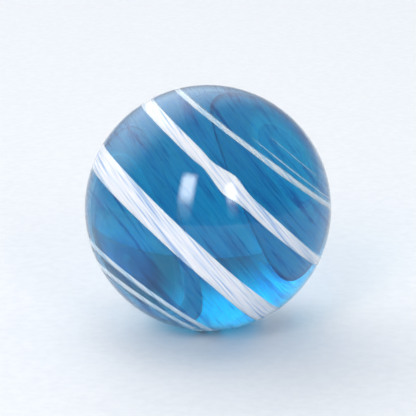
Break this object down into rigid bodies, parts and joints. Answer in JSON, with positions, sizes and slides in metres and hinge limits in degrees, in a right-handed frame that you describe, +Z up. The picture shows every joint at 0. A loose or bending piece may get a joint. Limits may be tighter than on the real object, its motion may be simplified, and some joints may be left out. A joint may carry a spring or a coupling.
{
  "type": "glass marble",
  "caption": "Small solid ball of clear blue glass with opaque white ribbons that swirl round it from tip to tip, fused flush into its skin.",
  "frame": {"origin": "Centre of the ball.", "axes": "+Z is up, as the marble lies in the picture. +X is the picture's right, and -Y is the side that faces the viewer. The swirl's own axis leans 52 degrees from +Z, nearly towards +X."},
  "size_m": [0.016, 0.016, 0.016],
  "materials": {
    "blue_glass": "clear azure soda-lime glass, fire polished",
    "white_glass": "opaque white glass, fire polished"
  },
  "bodies": {
    "root": {"glass_ball": "blue_glass", "white_ribbons": "white_glass"}
  },
  "joints": []
}
